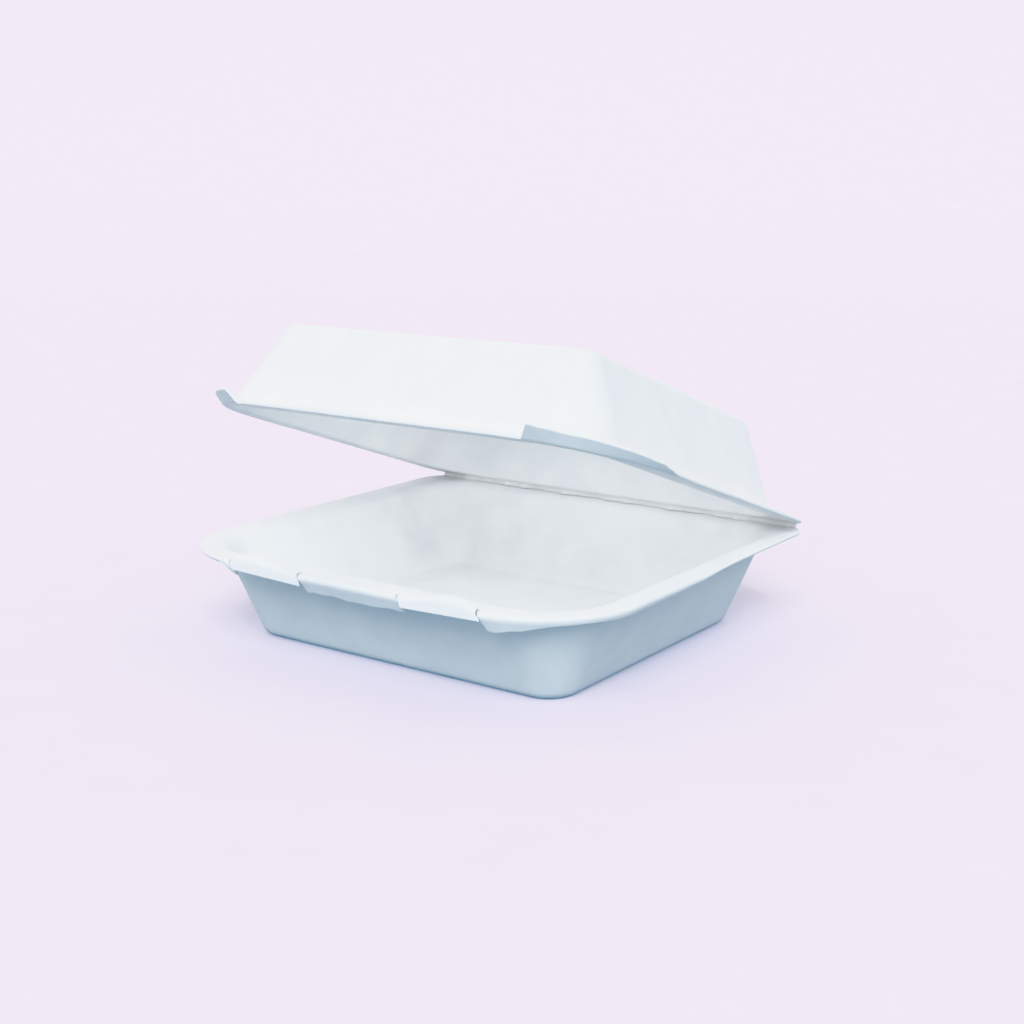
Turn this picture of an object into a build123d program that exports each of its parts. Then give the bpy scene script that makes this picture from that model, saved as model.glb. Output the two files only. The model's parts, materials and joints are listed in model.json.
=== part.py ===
from build123d import *
from math import cos, radians, sin, tan
import os

# Foam take-out container with a hinged lid, thermoformed from one sheet of extruded polystyrene.
# The origin is the centre of the tray's base. +X runs along the hinge, -Y is the front, +Z is up.
# Each half is formed with its mating face in the XY plane and its shell rising towards +Z.

# Overall sizes, in millimetres and degrees
rim_width = 209.0            # across the flat rim, left to right
rim_depth = 191.0            # from the front edge of the flat rim to the hinge line
tray_height = 41.0           # from the underside of the base to the mating face
lid_height = 40.0            # from the mating face to the crown of the lid
rest_opening = 19.3          # lid standing ajar, measured from closed

# The formed sheet
sheet = 2.6                  # foam thickness
tray_draft = 23.0            # lean of the tray walls from upright
lid_draft = 25.0             # lean of the lid walls from upright
tray_corner = 30.0           # upright corner radius of the tray at the rim, outside
lid_corner = 25.0            # the same on the lid
base_bend = 6.0              # outside radius where the walls turn into the tray's base
crown_bend = 4.5             # the same at the lid's crown
wall_root = 1.6              # radius between a wall and its flange, outside
mouth_roll = 2.4             # radius where the mating face rolls into the shell

# The rim flange and its turned lip
side_flange = 8.0
front_flange = 11.0
back_flange = 5.0
tray_front_corner = 42.0     # rounded front corners of the tray's rim
lid_front_corner = 48.0      # and of the lid's
lid_setback = 5.0            # the lid's front edge stands this far behind the tray's
back_corner = 14.0           # squarer corners beside the hinge
rim_roll = 2.0               # radius where the flange turns into the lip
lip_sheet = 2.0              # the lip is drawn thinner than the flange
tray_lip = 7.0               # height of the tray's downturned lip at the front
tray_lip_flare = -8.0        # its lean outwards; a negative lean tucks it in
tray_lip_fade = 32.0         # length over which it runs out round the corners
lid_lip = 5.2                # height of the upturned lips on the lid's front corners
lid_lip_flare = 45.0
lid_lip_level = 15.0         # they keep their height this far back from the front edge
lid_lip_fade = 60.0          # and then run out over this length

# Stiffening panels pressed into the base and the crown
panel_step = 1.2
panel_border = 14.0          # flat margin round a panel
panel_corner = 14.0
panel_slope = 45.0

# Front latch: two tongues on the tray that snap up in front of the lid's edge
tongue_centre = 44.0         # from the middle of the front to the middle of a tongue
tongue_width = 36.0
tongue_root = 3.0            # from the flat rim's edge back to the tongue's fold
tongue_seat = 0.6            # the fold reaches this far into the flange
tongue_crest = 1.2           # from the flat rim's edge back to its crest
tongue_rise = 4.2            # crest above the mating face
tongue_end_rise = 0.8        # the same at the tongue's ends
tongue_drop = 3.4            # tip below the mating face
tongue_reach = 5.0           # tip in front of the flat rim's edge
slit = 1.2                   # knife cut at each end of a tongue
notch_spacing = 146.0        # between the notches that end the lid's corner lips
notch_lean = 28.0            # lean of the notch edges

# Living hinge: the sheet is crushed to a thin web between the two halves
web = 0.9                    # crushed thickness
groove = 2.4                 # width of the pressed slope on each side
closed_gap = 0.4             # between the mating faces when the lid is shut
edge_gap = 0.15              # from each crushed edge to the hinge axis

wall_width = rim_width - 2 * side_flange
wall_depth = rim_depth - front_flange - back_flange
front_y = -wall_depth / 2 - front_flange
lid_front_y = front_y + lid_setback
hinge_y = wall_depth / 2 + back_flange
hinge_z = tray_height + closed_gap / 2
hinge_length = rim_width - 2 * back_corner


def across(points):
    """Block with the given outline of (y, z) points, running right across the container."""
    outline = make_face(Polyline(*points, close=True))
    return extrude(Plane.YZ * outline, amount=rim_width, both=True)


def rim_outline(front, corner, inset):
    """Flat outline of a rim, drawn in at the front and sides, and straight along the hinge."""
    near = front + inset
    far = hinge_y - edge_gap
    outline = Pos(0, (near + far) / 2) * Rectangle(rim_width - 2 * inset, far - near)
    outline = fillet(outline.vertices().group_by(Axis.Y)[0], corner - inset)
    return fillet(outline.vertices().group_by(Axis.Y)[-1], back_corner)


def bowl(height, draft, corner, inset, bend):
    """Tapered block on the mating plane, with its far edge rounded."""
    mouth = RectangleRounded(wall_width - 2 * inset, wall_depth - 2 * inset, corner - inset)
    block = extrude(mouth, amount=height, taper=draft)
    return fillet(block.faces().sort_by(Axis.Z)[-1].edges(), bend)


def shell(height, draft, corner, bend, rim):
    """Drawn bowl with its flat flange: one sheet of even thickness."""
    flange = extrude(rim_outline(*rim, 0), amount=sheet)
    half = bowl(height, draft, corner, 0, bend) + flange
    outside = half.faces().filter_by(Axis.Z).filter_by_position(Axis.Z, sheet, sheet)[0]
    half = fillet(outside.inner_wires()[0].edges(), wall_root)
    skin = sheet / cos(radians(draft))
    half -= bowl(height - sheet, draft, corner, skin, bend - sheet)
    mating_face = half.faces().filter_by(Axis.Z).filter_by_position(Axis.Z, 0, 0)[0]
    return fillet(mating_face.inner_wires()[0].edges(), mouth_roll)


def turned_lip(height, flare, level, length, rim):
    """Edge of the rim turned up and out, highest along the front and running out along the sides."""
    outer = extrude(rim_outline(*rim, -rim_roll), amount=height, taper=-flare)
    outer = fillet(outer.faces().sort_by(Axis.Z)[0].edges(), rim_roll)
    inside = lip_sheet / cos(radians(flare)) - sheet * tan(radians(flare)) - rim_roll
    inner = Pos(0, 0, sheet) * extrude(rim_outline(*rim, inside), amount=height, taper=-flare)
    middle = extrude(rim_outline(*rim, rim_roll), amount=sheet)
    past = height + front_flange
    far = hinge_y + past
    start = rim[0] + level
    fade = TangentArc((start + length, 0), (start, height), tangent=(-1, 0))
    rest = Polyline(fade @ 1, (start - 2 * past, 2 * height), (far, 2 * height), (far, 0), fade @ 0)
    above = extrude(Plane.YZ * make_face([fade, rest]), amount=rim_width, both=True)
    return outer - inner - middle - above


def press_panel(half, height, draft):
    """Shallow panel pressed inwards in the base or the crown, which leaves a raised ring round it."""
    inset = height * tan(radians(draft)) + panel_border
    outline = RectangleRounded(wall_width - 2 * inset, wall_depth - 2 * inset, panel_corner)
    recess = mirror(extrude(outline, amount=panel_step, taper=panel_slope), Plane.XY)
    return half + Pos(0, 0, height - sheet) * recess - Pos(0, 0, height) * recess


def hinge_groove():
    """Wedge that crushes the flange down to the web, from the outside."""
    start = (hinge_y - groove, sheet)
    end = (hinge_y, web)
    return across([start, end, (hinge_y + groove, web), (hinge_y + groove, 2 * sheet), (start[0], 2 * sheet)])


def tongue_section(x, rise):
    """Section of a tongue at x: up from its fold to the crest, then down and out to its tip."""
    root = front_y + tongue_root + tongue_seat
    crest = front_y + tongue_crest
    tip = front_y - tongue_reach
    top = [(root, 0), (crest, rise), (tip, -tongue_drop)]
    under = [(tip + lip_sheet, -tongue_drop), (crest, rise - sheet), (root, -sheet)]
    outline = make_face(Polyline(*top, *under, close=True))
    return Pos(x, 0, tray_height) * (Plane.YZ * outline)


def latch_tongue(side):
    """One tongue, humped along its length."""
    middle = side * tongue_centre
    ends = [middle - tongue_width / 2, middle + tongue_width / 2]
    sections = [tongue_section(ends[0], tongue_end_rise), tongue_section(middle, tongue_rise)]
    sections.append(tongue_section(ends[1], tongue_end_rise))
    return loft(sections)


def tongue_gap(side):
    """What the knife takes out of the rim round one tongue."""
    front = front_y - rim_roll - tray_lip
    back = front_y + tongue_root
    window = Rectangle(tongue_width + 2 * slit, back - front)
    depth = tray_lip + tongue_rise
    return Pos(side * tongue_centre, (front + back) / 2, tray_height) * extrude(window, amount=depth, both=True)


def lip_notch():
    """Opening between the lid's two corner lips, wider at the top than at the flange."""
    half = notch_spacing / 2
    top = 2 * lid_lip
    spread = top * tan(radians(notch_lean))
    outline = make_face(Polyline((-half, -top), (half, -top), (half, 0), (half + spread, top), (-half - spread, top),
                                 (-half, 0), close=True))
    return Pos(0, lid_front_y, 0) * extrude(Plane.XZ * outline, amount=lid_front_corner, both=True)


def make_tray():
    """Open tray with a downturned lip and two latch tongues along its front."""
    tray_rim = (front_y, tray_front_corner)
    half = shell(tray_height, tray_draft, tray_corner, base_bend, tray_rim)
    half += turned_lip(tray_lip, tray_lip_flare, 0, tray_lip_fade, tray_rim)
    half = press_panel(half, tray_height, tray_draft) - hinge_groove()
    tray = Pos(0, 0, tray_height) * mirror(half, Plane.XY)
    for side in (-1, 1):
        tray = tray - tongue_gap(side) + latch_tongue(side)
    return tray


def make_lid():
    """Lid with upturned lips on its front corners, standing ajar."""
    lid_rim = (lid_front_y, lid_front_corner)
    half = shell(lid_height, lid_draft, lid_corner, crown_bend, lid_rim)
    half += turned_lip(lid_lip, lid_lip_flare, lid_lip_level, lid_lip_fade, lid_rim) - lip_notch()
    half = press_panel(half, lid_height, lid_draft) - hinge_groove()
    closed = Pos(0, 0, tray_height + closed_gap) * half
    return closed.rotate(Axis((0, hinge_y, hinge_z), (1, 0, 0)), -rest_opening)


def make_hinge():
    """Crushed web, bent round the hinge axis from the tray's edge to the lid's edge."""
    inner = closed_gap / 2
    outer = inner + web
    tray_side = radians(-90)
    lid_side = radians(90 - rest_opening)
    bend_angles = [tray_side, (tray_side + lid_side) / 2, lid_side]
    outside = ThreePointArc(*[(outer * cos(angle), outer * sin(angle)) for angle in bend_angles])
    inside = ThreePointArc(*[(inner * cos(angle), inner * sin(angle)) for angle in bend_angles])
    bend = make_face([outside, Line(outside @ 1, inside @ 1), inside, Line(inside @ 0, outside @ 0)])
    tray_edge = Pos(-edge_gap / 2, -(inner + outer) / 2) * Rectangle(edge_gap, web)
    lid_edge = Rot(0, 0, -rest_opening) * Pos(-edge_gap / 2, (inner + outer) / 2) * Rectangle(edge_gap, web)
    section = Plane.YZ * (bend + tray_edge + lid_edge)
    return Pos(0, hinge_y, hinge_z) * extrude(section, amount=hinge_length / 2, both=True)


os.makedirs("parts", exist_ok=True)
export_step(make_tray(), "parts/tray.step")
export_step(make_lid(), "parts/lid.step")
export_step(make_hinge(), "parts/living_hinge.step")
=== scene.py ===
import json
import math
import bmesh
import bpy
import numpy as np
from mathutils import Matrix, Vector


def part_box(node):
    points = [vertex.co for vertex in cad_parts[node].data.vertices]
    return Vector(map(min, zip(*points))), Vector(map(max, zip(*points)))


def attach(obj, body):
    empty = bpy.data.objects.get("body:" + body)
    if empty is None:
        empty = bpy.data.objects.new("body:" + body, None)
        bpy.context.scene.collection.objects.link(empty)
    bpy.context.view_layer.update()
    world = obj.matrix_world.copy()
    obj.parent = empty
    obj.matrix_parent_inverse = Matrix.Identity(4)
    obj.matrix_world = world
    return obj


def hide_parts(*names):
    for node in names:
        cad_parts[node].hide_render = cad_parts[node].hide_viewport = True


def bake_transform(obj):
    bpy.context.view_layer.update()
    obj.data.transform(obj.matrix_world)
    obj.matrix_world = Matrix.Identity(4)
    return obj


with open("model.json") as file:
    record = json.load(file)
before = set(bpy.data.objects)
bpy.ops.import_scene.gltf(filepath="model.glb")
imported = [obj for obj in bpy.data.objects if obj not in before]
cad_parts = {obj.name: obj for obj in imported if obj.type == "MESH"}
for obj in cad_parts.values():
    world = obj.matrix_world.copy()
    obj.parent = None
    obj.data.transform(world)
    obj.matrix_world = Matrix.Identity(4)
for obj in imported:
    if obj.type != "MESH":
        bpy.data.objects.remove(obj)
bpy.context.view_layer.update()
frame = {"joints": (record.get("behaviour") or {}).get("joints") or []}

# Tray
# The lower half of one sheet of extruded polystyrene foam, drawn hot over a mould into a tapered tray. Its
# flange turns down along the front, where a knife frees two humped latch tongues. It joins the lid along the
# crushed hinge.

mm = 0.001
lid_joint = frame["joints"][0]
hinge = Vector(lid_joint["pos_m"])
tray_low, tray_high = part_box("tray")
sheet = 2.6 * mm                # foam thickness
lip_sheet = 1.4 * mm            # the same at the trimmed edges, which are drawn thinner
web = 0.9 * mm                  # the same at the hinge, where it is crushed
groove = 2.4 * mm               # width of the pressed slope beside the hinge
closed_gap = 0.4 * mm           # between the mating faces when the lid is shut
edge_gap = 0.15 * mm            # from each crushed edge to the hinge line
solid_tongue_reach = 5.0 * mm   # how far the solid tray's tongues stand in front of its flat rim
side_flange = 8.0 * mm
back_flange = 5.0 * mm
back_corner = 14.0 * mm         # rounded corners of the rim beside the hinge
tray_height = hinge.z - closed_gap / 2
rim_half = tray_high.x
rim_front = tray_low.y + solid_tongue_reach
hinge_edge = hinge.y - edge_gap
wall_half_width = rim_half - side_flange
wall_half_depth = hinge.y - back_flange
rim_roll = 2.0 * mm             # radius where the flange turns into its lip
fold_inset = 3.0 * mm           # the turned strip starts this far inside the rim,
fold_share = 0.6                # or at this share of the flange where that is narrower
strip_rows = 20
panel_step = 1.2 * mm           # height of the pressed panel
panel_ease = 0.7 * mm           # softening of its step
panel_border = 14.0 * mm        # flat margin round it
panel_corner = 14.0 * mm
mouth_land = 0.6 * mm           # first flat row of the flange, beside the rolled mouth
trim_bulge = 0.5 * mm           # how far a trimmed edge is rounded out
hinge_bulge = 0.02 * mm         # the same beside the hinge, where nothing is trimmed
sharp_angle = math.radians(48)  # edges that bend by more than this stay crisp


def eased(start, corner, end, share):
    """Point at a share of the curve that rounds a corner off from start to end."""
    return (1 - share) ** 2 * start + 2 * share * (1 - share) * corner + share ** 2 * end


def softened(points, reaches, steps):
    """Bent line through 2-D points, with each inner corner eased over the given reach."""
    points = [np.array(point, float) for point in points]
    path = [points[0]]
    for before, corner, after, reach in zip(points, points[1:], points[2:], reaches):
        start = corner + reach * (before - corner) / np.linalg.norm(before - corner)
        end = corner + reach * (after - corner) / np.linalg.norm(after - corner)
        path += [eased(start, corner, end, share) for share in np.linspace(0, 1, steps)]
    path.append(points[-1])
    return np.array(path)


def travelled(path):
    """Length along a bent line, up to each of its points."""
    steps = np.linalg.norm(np.diff(path, axis=0), axis=1)
    return np.concatenate([[0], np.cumsum(steps)])


def spaced(path, count, length=None):
    """Evenly spaced points along a bent line, up to a length along it."""
    along = travelled(path)
    wanted = np.linspace(0, along[-1] if length is None else length, count)
    return np.column_stack([np.interp(wanted, along, path[:, axis]) for axis in (0, 1)])


def around(stations, front_centre, front_radius, back_centre, back_radius):
    """Closed rounded outline and its outward directions, at the stations that all rings of a half share."""
    front, front_turn, side, back_turn, back = stations
    (front_x, front_y), (back_x, back_y) = front_centre, back_centre
    side_start, side_end = front_x + front_radius, back_x + back_radius
    rows = [(front_x * share, front_y - front_radius, 0, -1) for share in front]
    for turn in front_turn:
        out_x, out_y = math.sin(turn), -math.cos(turn)
        rows.append((front_x + front_radius * out_x, front_y + front_radius * out_y, out_x, out_y))
    for share in side:
        x = side_start + (side_end - side_start) * share
        rows.append((x, front_y + (back_y - front_y) * share, 1, 0))
    for turn in back_turn:
        out_x, out_y = math.cos(turn), math.sin(turn)
        rows.append((back_x + back_radius * out_x, back_y + back_radius * out_y, out_x, out_y))
    rows += [(back_x * share, back_y + back_radius, 0, 1) for share in back]
    right = np.array(rows)
    left = right[-2:0:-1] * (-1, 1, -1, 1)
    both = np.concatenate([right, left])
    return both[:, :2], both[:, 2:]


def rim_around(stations, front, front_corner):
    """Flat outline of a half's rim and its outward directions, from its front edge to the hinge."""
    front_centre = (rim_half - front_corner, front + front_corner)
    back_centre = (rim_half - back_corner, hinge_edge - back_corner)
    return around(stations, front_centre, front_corner, back_centre, back_corner)


def box_ring(stations, half_width, half_depth, corner, inset):
    """Rounded rectangle about the middle of a half, drawn in by inset."""
    centre_x, centre_y = half_width - corner, half_depth - corner
    radius = corner - inset
    return around(stations, (centre_x, -centre_y), radius, (centre_x, centre_y), radius)[0]


def level(ring, depth):
    """A ring at one depth below the mating face."""
    return np.column_stack([ring, np.full(len(ring), depth)])


def bowl_rows(stations, height, draft, corner, bend, mouth_roll):
    """Rings of the drawn shell's inner face, from the middle of its pressed panel out to the mouth."""
    floor = height - sheet
    raised = floor - panel_step
    lean = math.tan(draft)
    border = height * lean + panel_border
    panel_size = (wall_half_width - border, wall_half_depth - border)
    panel_top = box_ring(stations, *panel_size, panel_corner, 2 * panel_step)
    rows = [level(panel_top * share, raised) for share in (0.2, 0.45, 0.7, 0.88)]
    step = [(2 * panel_step, raised), (panel_step, raised), (0, floor), (-panel_step, floor)]
    for inset, depth in softened(step, [panel_ease, panel_ease], 4):
        rows.append(level(box_ring(stations, *panel_size, panel_corner, inset), depth))
    skin = sheet / math.cos(draft)
    foot = skin + floor * lean
    turn_reach = math.tan((math.pi / 2 - draft) / 2)
    mouth_reach = mouth_roll * turn_reach
    wall = [(foot + 2 * bend, floor), (foot, floor), (skin, 0), (skin - mouth_reach - mouth_land, 0)]
    bend_rows = 7
    profile = softened(wall, [bend * turn_reach, mouth_reach], bend_rows)
    bottom, top = profile[:bend_rows + 1], profile[bend_rows + 1:]
    upright = [bottom[-1] + (top[0] - bottom[-1]) * share for share in np.linspace(0.1, 0.9, 9)]
    for inset, depth in np.concatenate([bottom, upright, top]):
        rows.append(level(box_ring(stations, wall_half_width, wall_half_depth, corner, inset), depth))
    return rows


def add_flange(rows, rim, outward):
    """Flat rows from the mouth to the turned strip's fold. Returns the fold's distance inside the rim."""
    mouth = rows[-1][:, :2]
    insets = np.minimum(fold_inset, fold_share * np.sum((rim - mouth) * outward, axis=1))
    fold = rim - outward * insets[:, None]
    rows += [level(mouth + (fold - mouth) * share, 0) for share in np.linspace(0, 1, 8)[1:-1]]
    return insets


def add_strip(rows, rim, outward, paths):
    """Rows of the turned strip: each column follows its own line of (out, down) from the fold."""
    for row in range(strip_rows):
        out, depth = paths[:, row, 0], paths[:, row, 1]
        rows.append(np.column_stack([rim + outward * out[:, None], depth]))


def lip_lines(turn, insets, heights):
    """Section of a turned lip at each column, from its fold over the rolled edge to where it is trimmed."""
    past_trim, least_height = 20 * mm, 0.02 * mm
    tip = (rim_roll + past_trim * math.cos(turn), past_trim * math.sin(turn))
    lines = []
    for inset, height in zip(insets, heights):
        path = softened([(-inset, 0), (rim_roll, 0), tip], [rim_roll * math.tan(turn / 2)], 12)
        full = np.interp(max(height, least_height), path[1:, 1], travelled(path)[1:])
        lines.append(spaced(path, strip_rows, inset + (full - inset) * min(height / rim_roll, 1)))
    return np.array(lines)


def wander(along, waves):
    """Sum of a few waves along an edge, each with its height, its turn in a millimetre and its start."""
    return sum(height * np.sin(turn * along / mm + start) for height, turn, start in waves)


def uneven(rim):
    """Share by which the height of a trimmed edge wanders along the rim."""
    side_share = 0.7
    along = rim[:, 0] - side_share * rim[:, 1]
    return 1 + wander(along, ((0.05, 0.19, 0), (0.04, 0.47, 1), (0.025, 1.13, 0)))


def run_out(y, start, length, height):
    """Height of a lip at y: full in front of start, then curving away to nothing over a length."""
    radius = (length ** 2 + height ** 2) / (2 * height)
    left = np.clip(start + length - y, 0, length)
    return radius - np.sqrt(radius ** 2 - left ** 2)


def sheet_thickness(grid, fold_row):
    """Foam thickness over a half: even, thinning over half of the turned strip, crushed beside the hinge."""
    thick = np.full(grid.shape[:2], sheet)
    strip = np.linspace(0, 1, len(grid) - fold_row)[:, None]
    thick[fold_row:] = sheet + (lip_sheet - sheet) * np.clip(2 * strip, 0, 1)
    crushed = web + (sheet - web) * np.clip((hinge_edge - grid[:, :, 1]) / groove, 0, 1)
    return np.minimum(thick, crushed)


def sheet_loop(grid, outward, slits, fold_row):
    """Rows of points round a formed sheet: its mating face, the rounded trimmed edge and the other face."""
    edge_turns, edge_fullness = np.radians([62, 30, 0, -30, -62]), 0.6
    thick = sheet_thickness(grid, fold_row)
    beside_hinge = outward[:, 1] > 0.9
    bulge = np.where(beside_hinge, hinge_bulge, trim_bulge)
    ahead = np.roll(grid, -1, axis=1) - grid
    behind = np.roll(ahead, 1, axis=1)
    for column in slits:
        ahead[fold_row:, column] = behind[fold_row:, column]
        behind[fold_row:, column + 1] = ahead[fold_row:, column + 1]
    normal = np.cross(ahead + behind, np.gradient(grid, axis=0))
    normal /= np.linalg.norm(normal, axis=2, keepdims=True)
    other = grid - normal * thick[:, :, None]
    end_normal = normal[-1]
    end_out = grid[-1] - grid[-2]
    end_out -= end_normal * np.sum(end_out * end_normal, axis=1, keepdims=True)
    end_out /= np.linalg.norm(end_out, axis=1, keepdims=True)
    middle = (grid[-1] + other[-1]) / 2
    edge = []
    for turn in edge_turns:
        up = math.copysign(abs(math.sin(turn)) ** edge_fullness, turn) * thick[-1] / 2
        out = math.cos(turn) ** edge_fullness * bulge
        edge.append(middle + end_normal * up[:, None] + end_out * out[:, None])
    return np.concatenate([grid, np.array(edge), other[::-1]])


def sheet_faces(rows, columns, face_rows, slits, fold_row):
    """Faces round the loop of a formed sheet, over the middle of both sides and inside the knife cuts."""
    last_row = rows - 1
    faces = []
    for row in range(last_row):
        in_strip = fold_row <= row < last_row - fold_row
        for column in range(columns):
            if in_strip and column in slits:
                continue
            beside = (column + 1) % columns
            corners = ((row, column), (row, beside), (row + 1, beside), (row + 1, column))
            faces.append([r * columns + c for r, c in corners])
    mating_centre, other_centre = rows * columns, rows * columns + 1
    for column in range(columns):
        beside = (column + 1) % columns
        faces.append([mating_centre, column, beside])
        faces.append([other_centre, last_row * columns + column, last_row * columns + beside])
    for slit in slits:
        for column in (slit, slit + 1):
            for row in range(fold_row, face_rows - 1):
                corner_rows = (row, row + 1, last_row - row - 1, last_row - row)
                faces.append([r * columns + column for r in corner_rows])
            faces.append([r * columns + column for r in range(face_rows - 1, rows - face_rows + 1)])
        corners = ((fold_row, slit), (fold_row, slit + 1),
                   (last_row - fold_row, slit + 1), (last_row - fold_row, slit))
        faces.append([r * columns + c for r, c in corners])
    return faces


def solid_piece(name, points, faces):
    """Closed mesh with its faces turned outwards, smooth apart from its crisp edges."""
    mesh = bpy.data.meshes.new(name)
    mesh.from_pydata(points, [], faces)
    solid = bmesh.new()
    solid.from_mesh(mesh)
    bmesh.ops.recalc_face_normals(solid, faces=solid.faces)
    solid.to_mesh(mesh)
    solid.free()
    mesh.shade_smooth()
    mesh.set_sharp_from_angle(angle=sharp_angle)
    piece = bpy.data.objects.new(name, mesh)
    bpy.context.scene.collection.objects.link(piece)
    return piece


def formed_sheet(name, grid, outward, slits, fold_row, place):
    """One half as a closed mesh, from the grid of its mating face, with its trimmed edge marked."""
    loop = sheet_loop(grid, outward, slits, fold_row)
    rows, columns = loop.shape[:2]
    face_rows = len(grid)
    centres = [loop[0].mean(axis=0), loop[-1].mean(axis=0)]
    points = place(np.concatenate([loop.reshape(-1, 3), centres]))
    piece = solid_piece(name, points.tolist(), sheet_faces(rows, columns, face_rows, slits, fold_row))
    is_edge = np.zeros((rows, columns))
    is_edge[face_rows:rows - face_rows] = 1
    cut = piece.data.attributes.new("cut_edge", "FLOAT", "POINT")
    cut.data.foreach_set("value", np.append(is_edge, [0, 0]).astype(np.float32))
    return piece


def linear(hex_colour):
    """Linear RGBA of an sRGB hex colour."""
    channels = [int(hex_colour[i:i + 2], 16) / 255 for i in (1, 3, 5)]
    return [c / 12.92 if c <= 0.04045 else ((c + 0.055) / 1.055) ** 2.4 for c in channels] + [1.0]


def add(tree, kind, links=(), inputs=(), **settings):
    """A node with its settings, its fixed inputs and its links from (node, output) to an input."""
    node = tree.nodes.new(kind)
    for key, value in settings.items():
        setattr(node, key, value)
    for key, value in dict(inputs).items():
        node.inputs[key].default_value = value
    for key, (source, output) in dict(links).items():
        tree.links.new(source.outputs[output], node.inputs[key])
    return node


def polystyrene_foam(name, colours, cell_size, cell_depth, roughness):
    """Extruded polystyrene foam with its smooth formed skin: bright, satin and faintly cellular.
    Real cells are about 0.3 mm across, too fine to show, so they are drawn coarser."""
    mottle_size, ripple_size, ripple_depth = 18 * mm, 9 * mm, 0.3 * mm
    skin_cells, cut_cells = 0.35, 0.9
    smoother, rougher = 0.07, 0.09
    material = bpy.data.materials.new(name)
    material.use_nodes = True
    tree = material.node_tree
    shader = tree.nodes["Principled BSDF"]
    place = add(tree, "ShaderNodeTexCoord")
    cut = add(tree, "ShaderNodeAttribute", attribute_name="cut_edge")
    mottle = add(tree, "ShaderNodeTexNoise", {"Vector": (place, "Object")},
                 {"Scale": 1 / mottle_size, "Detail": 3.0, "Roughness": 0.55})
    tint = add(tree, "ShaderNodeValToRGB", {"Fac": (mottle, "Fac")})
    for end, position, colour in zip(tint.color_ramp.elements, (0.3, 0.72), colours):
        end.position = position
        end.color = linear(colour)
    gloss = add(tree, "ShaderNodeMapRange", {"Value": (mottle, "Fac")},
                {"To Min": roughness - smoother, "To Max": roughness + rougher})
    ripple = add(tree, "ShaderNodeTexNoise", {"Vector": (place, "Object")},
                 {"Scale": 1 / ripple_size, "Detail": 2.0, "Roughness": 0.5})
    waves = add(tree, "ShaderNodeBump", {"Height": (ripple, "Fac")},
                {"Strength": 0.35, "Distance": ripple_depth})
    cells = add(tree, "ShaderNodeTexVoronoi", {"Vector": (place, "Object")}, {"Scale": 1 / cell_size})
    depth = add(tree, "ShaderNodeMapRange", {"Value": (cut, "Fac")},
                {"To Min": skin_cells, "To Max": cut_cells})
    skin = add(tree, "ShaderNodeBump",
               {"Height": (cells, "Distance"), "Normal": (waves, "Normal"), "Strength": (depth, "Result")},
               {"Distance": cell_depth})
    tree.links.new(tint.outputs["Color"], shader.inputs["Base Color"])
    tree.links.new(gloss.outputs["Result"], shader.inputs["Roughness"])
    tree.links.new(skin.outputs["Normal"], shader.inputs["Normal"])
    shader.inputs["IOR"].default_value = 1.5
    return material


def tongue_line(share):
    """Section of a tongue at a share of its length: up from its fold to a crest and down to its tip."""
    rise_middle, rise_end, drop = 4.2 * mm, 0.8 * mm, 3.4 * mm
    crest_inset, crest_ease = 1.2 * mm, 0.8 * mm
    shoulder_reach, shoulder_share, shoulder_ease = 2.2 * mm, 0.6, 1.6 * mm
    tip_reach, tip_lift = 3.0 * mm, 0.3
    lopsided, fullness = 2.1, 0.75
    hump = math.sin(math.pi * share ** lopsided) ** fullness
    rise = rise_end + (rise_middle - rise_end) * hump
    tip = (tip_reach, drop * (1 - tip_lift * share))
    bends = [(-fold_inset, 0), (-crest_inset, -rise), (shoulder_reach, -shoulder_share * rise), tip]
    return spaced(softened(bends, [crest_ease, shoulder_ease], 8), strip_rows)


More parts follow.
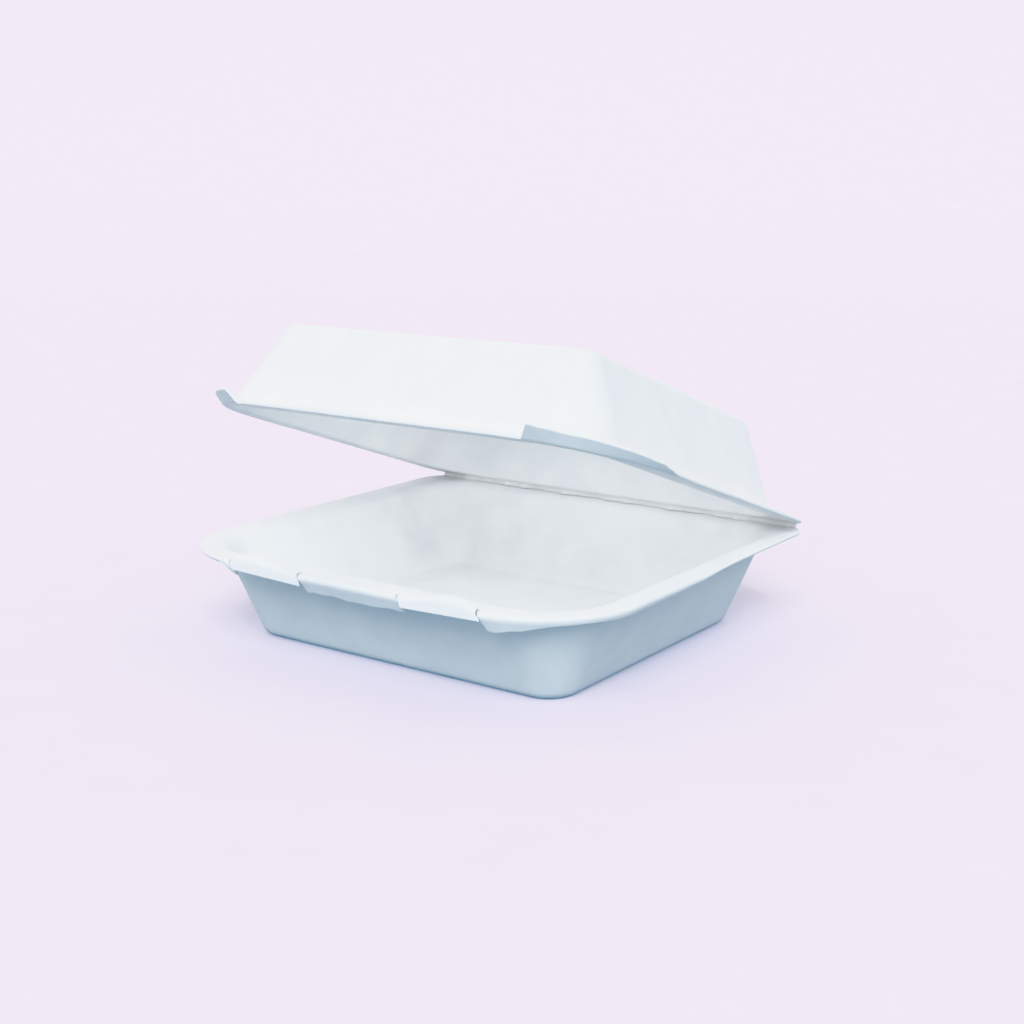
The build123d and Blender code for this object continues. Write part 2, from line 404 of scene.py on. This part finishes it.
def make_tray():
    """Mesh of the tray, worked out in (x, y, depth below the mating face)."""
    draft = math.radians(23)
    corner, front_corner = 30.0 * mm, 42.0 * mm
    base_bend, mouth_roll = 3.4 * mm, 8.0 * mm
    lip_height, lip_fade, lip_turn = 7.0 * mm, 32.0 * mm, math.radians(116)
    side_lip_height, side_lip_level, side_lip_fade = 3.4 * mm, 70.0 * mm, 95.0 * mm
    tongue_centre, tongue_half, slit = 44.0 * mm, 18.0 * mm, 1.2 * mm
    tongue_skew, skew_curve = 3.0 * mm, 1.5
    cut_lean, cut_columns = math.radians(25), 6
    inner_end, outer_end = tongue_centre - tongue_half, tongue_centre + tongue_half
    plain = np.linspace(0, inner_end - slit, 12)
    humped = np.linspace(inner_end, outer_end, 31)
    straight = rim_half - front_corner
    first_turn = math.asin((outer_end + slit - straight) / front_corner)
    stations = (np.concatenate([plain, humped]) / straight, np.linspace(first_turn, math.pi / 2, 30),
                np.linspace(0, 1, 30)[1:-1], np.linspace(0, math.pi / 2, 12), np.linspace(1, 0, 40)[1:])
    rows = bowl_rows(stations, tray_height, draft, corner, base_bend, mouth_roll)
    rim, outward = rim_around(stations, rim_front, front_corner)
    columns = len(rim)
    insets = add_flange(rows, rim, outward)
    fold_row = len(rows)

    # The turned lip: deep along the front, shallow along the sides, and pressed almost flat at the left
    # front corner
    front_lip = run_out(rim[:, 1], rim_front, lip_fade, lip_height)
    side_lip = run_out(rim[:, 1], rim_front + side_lip_level, side_lip_fade, side_lip_height)
    flat_share, flat_start, flat_length, flat_fade = 0.85, 6 * mm, 70 * mm, 30 * mm
    flattened = np.clip((-outer_end - rim[:, 0]) / flat_start, 0, 1)
    flattened *= np.clip((rim_front + flat_length - rim[:, 1]) / flat_fade, 0, 1)
    heights = np.maximum(front_lip, side_lip) * (1 - flat_share * flattened) * uneven(rim)
    paths = lip_lines(lip_turn, insets, heights)

    # The two tongues between their knife cuts
    first, last = len(plain), len(plain) + len(humped) - 1
    for column in range(first, last + 1):
        paths[column] = tongue_line((column - first) / (last - first))
        paths[columns - column] = paths[column]
    add_strip(rows, rim, outward, paths)
    grid = np.array(rows)
    slits = [first - 1, last, columns - first, columns - last - 1]
    for edge, step in ((first - 1, -1), (last + 1, 1), (columns - first + 1, 1), (columns - last - 1, -1)):
        for column in range(cut_columns):
            lip_column = grid[fold_row:, edge + step * column]
            lip_column[:, 0] += lip_column[:, 2] * math.tan(cut_lean) * (1 - column / cut_columns)
    skew = tongue_skew * np.linspace(0, 1, strip_rows)[:, None] ** skew_curve
    grid[fold_row:, first:last + 1, 0] += skew
    grid[fold_row:, columns - last:columns - first + 1, 0] += skew

    def place(points):
        return np.column_stack([points[:, :2], tray_height - points[:, 2]])

    return formed_sheet("tray_foam", grid, outward, slits, fold_row, place)


formed_foam = polystyrene_foam("extruded_polystyrene_foam", ("#eaecee", "#f3f4f4"),
                               cell_size=1.1 * mm, cell_depth=0.12 * mm, roughness=0.46)
tray = make_tray()
tray.data.materials.append(formed_foam)
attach(tray, "tray")
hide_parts("tray")

# Lid
# The upper half of the same sheet, with sharper corners and a shallow panel pressed into its crown. Its
# flange is plain along the front, where the tongues catch it, and turns up in finger lips round the front
# corners.

lid_height = 40.0 * mm
lid_setback = 5.0 * mm          # its front edge stands this far behind the tray's
lid_opening = math.radians(lid_joint["range_deg"][0])


def make_lid():
    """Mesh of the lid, worked out in (x, y, height above the mating face) and then turned open."""
    draft = math.radians(25)
    corner, front_corner = 25.0 * mm, 48.0 * mm
    crown_bend, mouth_roll = 1.9 * mm, 2.4 * mm
    lip_height, lip_length, lip_turn = 4.6 * mm, 72.0 * mm, math.radians(45)
    notch_half, notch_lean, notch_columns, knife = 70.5 * mm, math.radians(28), 8, 0.2 * mm
    lid_front = rim_front + lid_setback
    straight = rim_half - front_corner
    notch_turn = math.asin((notch_half - straight) / front_corner)
    front = np.linspace(0, 1, 22)
    before = np.linspace(0, notch_turn - knife / front_corner, 9)[1:]
    after = np.linspace(notch_turn, math.pi / 2, 34)
    stations = (front, np.concatenate([before, after]), np.linspace(0, 1, 36)[1:-1],
                np.linspace(0, math.pi / 2, 12), np.linspace(1, 0, 40)[1:])
    rows = bowl_rows(stations, lid_height, draft, corner, crown_bend, mouth_roll)
    rim, outward = rim_around(stations, lid_front, front_corner)
    columns = len(rim)
    insets = add_flange(rows, rim, outward)
    fold_row = len(rows)

    # The lips: none between the two slanted notches, highest beside them, running out along the sides
    notch = len(front) + len(before)
    heights = lip_height * np.clip((lid_front + lip_length - rim[:, 1]) / lip_length, 0, 1) * uneven(rim)
    heights[:notch] = 0
    heights[columns - notch + 1:] = 0
    add_strip(rows, rim, outward, lip_lines(lip_turn, insets, heights))
    grid = np.array(rows)
    for step in range(notch_columns):
        shift = grid[fold_row:, notch + step, 2] * math.tan(notch_lean) * (1 - step / notch_columns)
        grid[fold_row:, notch + step, 0] += shift
        grid[fold_row:, columns - notch - step, 0] -= shift
    slits = [notch - 1, columns - notch]
    turned = np.array(Matrix.Rotation(lid_opening, 3, "X"))

    def place(points):
        closed = np.column_stack([points[:, :2], points[:, 2] + tray_height + closed_gap])
        return (closed - np.array(hinge)) @ turned.T + np.array(hinge)

    return formed_sheet("lid_foam", grid, outward, slits, fold_row, place)


lid = make_lid()
lid.data.materials.append(formed_foam)
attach(lid, "lid")
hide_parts("lid")

# Living hinge
# The sheet between the two halves, crushed by the mould to a thin tough web. It bends round the hinge line
# and goes on round the rims' back corners. Its inner skin is gathered in small pleats, so it shows as a faint
# uneven line.


def make_hinge():
    """Bent web from the tray's crushed edge round to the lid's, with its inner skin gathered in pleats."""
    outer = closed_gap / 2 + web
    skin = closed_gap / 2 - 0.03 * mm
    ear = 8.2 * mm
    gather_middle, gather_swing, gather_least, gather_most = 4.9 * mm, 0.6 * mm, 3.4 * mm, 6.2 * mm
    ear_narrowing, hollow_share = 0.8, 0.45
    pleats = ((1, 0.21, 0), (0.7, 0.53, 1), (0.4, 1.27, 0))
    straight_half = rim_half - back_corner
    half_length = straight_half + ear
    turns = np.linspace(-math.pi / 2, math.pi / 2 + lid_opening, 14)
    cosine, sine = math.cos(lid_opening), math.sin(lid_opening)
    lid_turn = np.array([[cosine, -sine], [sine, cosine]])
    loops = []
    for x in np.linspace(-half_length, half_length, 198):
        beyond = max(abs(x) - straight_half, 0)
        setback = back_corner - math.sqrt(back_corner ** 2 - beyond ** 2)
        gather = min(max(gather_middle + gather_swing * wander(x, pleats), gather_least), gather_most)
        gather *= 1 - ear_narrowing * (beyond / ear) ** 2
        tray_edge = np.array([-setback, 0])
        lid_edge = lid_turn @ tray_edge
        line = [tray_edge + np.array([-edge_gap, -outer])]
        for share, turn in zip(np.linspace(0, 1, len(turns)), turns):
            middle = tray_edge + (lid_edge - tray_edge) * share
            line.append(middle + outer * np.array([math.cos(turn), math.sin(turn)]))
        line.append(lid_edge + lid_turn @ np.array([-edge_gap, outer]))
        tray_skin = np.array([-gather - setback, -skin])
        lid_skin = lid_turn @ np.array([-gather - setback, skin])
        hollow = hollow_share * (tray_skin + lid_skin)
        line += [eased(lid_skin, hollow, tray_skin, share) for share in np.linspace(0, 1, 9)]
        loops.append([(x, hinge.y + y, hinge.z + z) for y, z in line])
    count = len(loops[0])
    faces = []
    for start in range(0, (len(loops) - 1) * count, count):
        for k in range(count):
            beside = (k + 1) % count
            faces.append([start + k, start + beside, start + count + beside, start + count + k])
    faces.append(list(range(count)))
    faces.append([(len(loops) - 1) * count + k for k in range(count)])
    return solid_piece("hinge_web", [point for loop in loops for point in loop], faces)


# The same foam with its cells pressed shut, which leaves a finer and slightly glossier skin
crushed_foam = polystyrene_foam("crushed_polystyrene_foam", ("#e7e9eb", "#f0f1f1"),
                                cell_size=0.6 * mm, cell_depth=0.04 * mm, roughness=0.4)
hinge_web = make_hinge()
hinge_web.data.materials.append(crushed_foam)
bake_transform(hinge_web)
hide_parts("living_hinge")

# Floor
# A plain pale painted sweep that rises all round like a shallow bowl, so that no edge shows from any side. It
# holds back none of the surround's cool light from below, which reaches the foam.


def make_floor():
    """Surface of revolution, in metres: a flat disc that curves up into a leaning wall."""
    flat, sweep, lean = 1.6, 2.4, math.radians(65)
    profile = [(0.25 * flat, 0), (flat, 0)]
    for turn in np.linspace(0.05, lean, 16):
        profile.append((flat + sweep * math.sin(turn), sweep - sweep * math.cos(turn)))
    count = 96
    points = []
    for radius, z in profile:
        for turn in np.linspace(0, 2 * math.pi, count, endpoint=False):
            points.append((radius * math.cos(turn), radius * math.sin(turn), z))
    faces = [list(range(count))]
    for start in range(0, (len(profile) - 1) * count, count):
        for k in range(count):
            beside = (k + 1) % count
            faces.append([start + k, start + count + k, start + count + beside, start + beside])
    mesh = bpy.data.meshes.new("floor")
    mesh.from_pydata(points, [], faces)
    mesh.shade_smooth()
    piece = bpy.data.objects.new("floor", mesh)
    bpy.context.scene.collection.objects.link(piece)
    return piece


def painted_sweep():
    """Matt pale lavender paint with a faint roller texture, so that it shows no highlight."""
    roller_size = 30 * mm
    material = bpy.data.materials.new("matt_sweep_paint")
    material.use_nodes = True
    tree = material.node_tree
    shader = tree.nodes["Principled BSDF"]
    place = add(tree, "ShaderNodeTexCoord")
    grain = add(tree, "ShaderNodeTexNoise", {"Vector": (place, "Object")},
                {"Scale": 1 / roller_size, "Detail": 2.0})
    tint = add(tree, "ShaderNodeValToRGB", {"Fac": (grain, "Fac")})
    tint.color_ramp.elements[0].color = linear("#fbf1ff")
    tint.color_ramp.elements[1].color = linear("#fef4ff")
    tree.links.new(tint.outputs["Color"], shader.inputs["Base Color"])
    shader.inputs["Roughness"].default_value = 0.9
    shader.inputs["Specular IOR Level"].default_value = 0.1
    return material


floor = make_floor()
floor.data.materials.append(painted_sweep())
floor.visible_diffuse = False
floor.visible_shadow = False

# Light and camera
# A surround that is bright round the horizon, dimmer overhead and cool from below, a soft key from the front
# right, a low fill that reaches in under the lid, and a glow through the lid. The camera stands at the
# photograph's angle: a little above the rim and to the right of the front.


def bearing(azimuth, elevation):
    """Direction from the object to a light or the camera, in degrees round to the right and up."""
    a, e = math.radians(azimuth), math.radians(elevation)
    return Vector((math.sin(a) * math.cos(e), -math.cos(a) * math.cos(e), math.sin(e)))


def stand(data, aim, away, distance):
    """A light or the camera at a distance from what it is aimed at."""
    thing = bpy.data.objects.new(data.name, data)
    thing.location = aim + away * distance
    thing.rotation_euler = away.to_track_quat("Z", "Y").to_euler()
    bpy.context.scene.collection.objects.link(thing)
    return thing


def soft_key():
    """Distant softbox: a light of one strength over the whole floor, with soft shadows."""
    lamp = bpy.data.lights.new("soft_key", "SUN")
    lamp.angle = math.radians(36)
    lamp.energy = 2.0
    stand(lamp, aim=Vector(), away=bearing(azimuth=32, elevation=43), distance=1.0)


def near_fill():
    """Small softbox close to the front corner, which shines in under the lid and lights only the foam."""
    lamp = bpy.data.lights.new("near_fill", "AREA")
    lamp.size = 200 * mm
    lamp.energy = 0.13
    aim = Vector((0, 0, 50 * mm))
    light = stand(lamp, aim, away=bearing(azimuth=36, elevation=6), distance=440 * mm)
    lit = bpy.data.collections.new("lit_by_near_fill")
    for piece in (tray, lid, hinge_web):
        lit.objects.link(piece)
    light.light_linking.receiver_collection = lit


def glow_through():
    """Stand-in for the daylight that passes through the thin lid, so that the inside is evenly bright."""
    lamp = bpy.data.lights.new("glow_through_lid", "AREA")
    lamp.shape = "RECTANGLE"
    lamp.size, lamp.size_y = 150 * mm, 130 * mm
    lamp.energy = 0.046
    light = bpy.data.objects.new("glow_through_lid", lamp)
    light.location = (0, 12 * mm, 95 * mm)
    light.rotation_euler = (lid_opening, 0, 0)
    light.parent = lid
    light.visible_camera = False
    bpy.context.scene.collection.objects.link(light)


def surround():
    """World light by height: cool from below, off a studio table, white at the horizon and grey overhead."""
    world = bpy.data.worlds.new("studio_surround")
    world.use_nodes = True
    tree = world.node_tree
    place = add(tree, "ShaderNodeTexCoord")
    upward = add(tree, "ShaderNodeSeparateXYZ", {"Vector": (place, "Generated")})
    share = add(tree, "ShaderNodeMapRange", {"Value": (upward, "Z")}, {"From Min": -1.0, "From Max": 1.0})
    shade = add(tree, "ShaderNodeValToRGB", {"Fac": (share, "Result")})
    shade.color_ramp.elements[0].position = 0.46
    shade.color_ramp.elements[0].color = linear("#2a6985")
    shade.color_ramp.elements.new(0.54).color = linear("#ffffff")
    shade.color_ramp.elements[2].color = linear("#96989a")
    tree.links.new(shade.outputs["Color"], tree.nodes["Background"].inputs["Color"])
    tree.nodes["Background"].inputs["Strength"].default_value = 1.4
    return world


def photo_camera():
    """Camera at the photograph's angle and distance, with no shift and no depth of field."""
    lens = bpy.data.cameras.new("camera")
    lens.sensor_width = 36.0
    lens.lens = 54.9
    lens.clip_start = 10 * mm
    aim = Vector((12.6 * mm, -6.3 * mm, 54.0 * mm))
    return stand(lens, aim, away=bearing(azimuth=35.6, elevation=12.9), distance=664.0 * mm)


soft_key()
near_fill()
glow_through()
bpy.context.scene.world = surround()
bpy.context.scene.view_settings.view_transform = "Khronos PBR Neutral"
bpy.context.scene.camera = photo_camera()
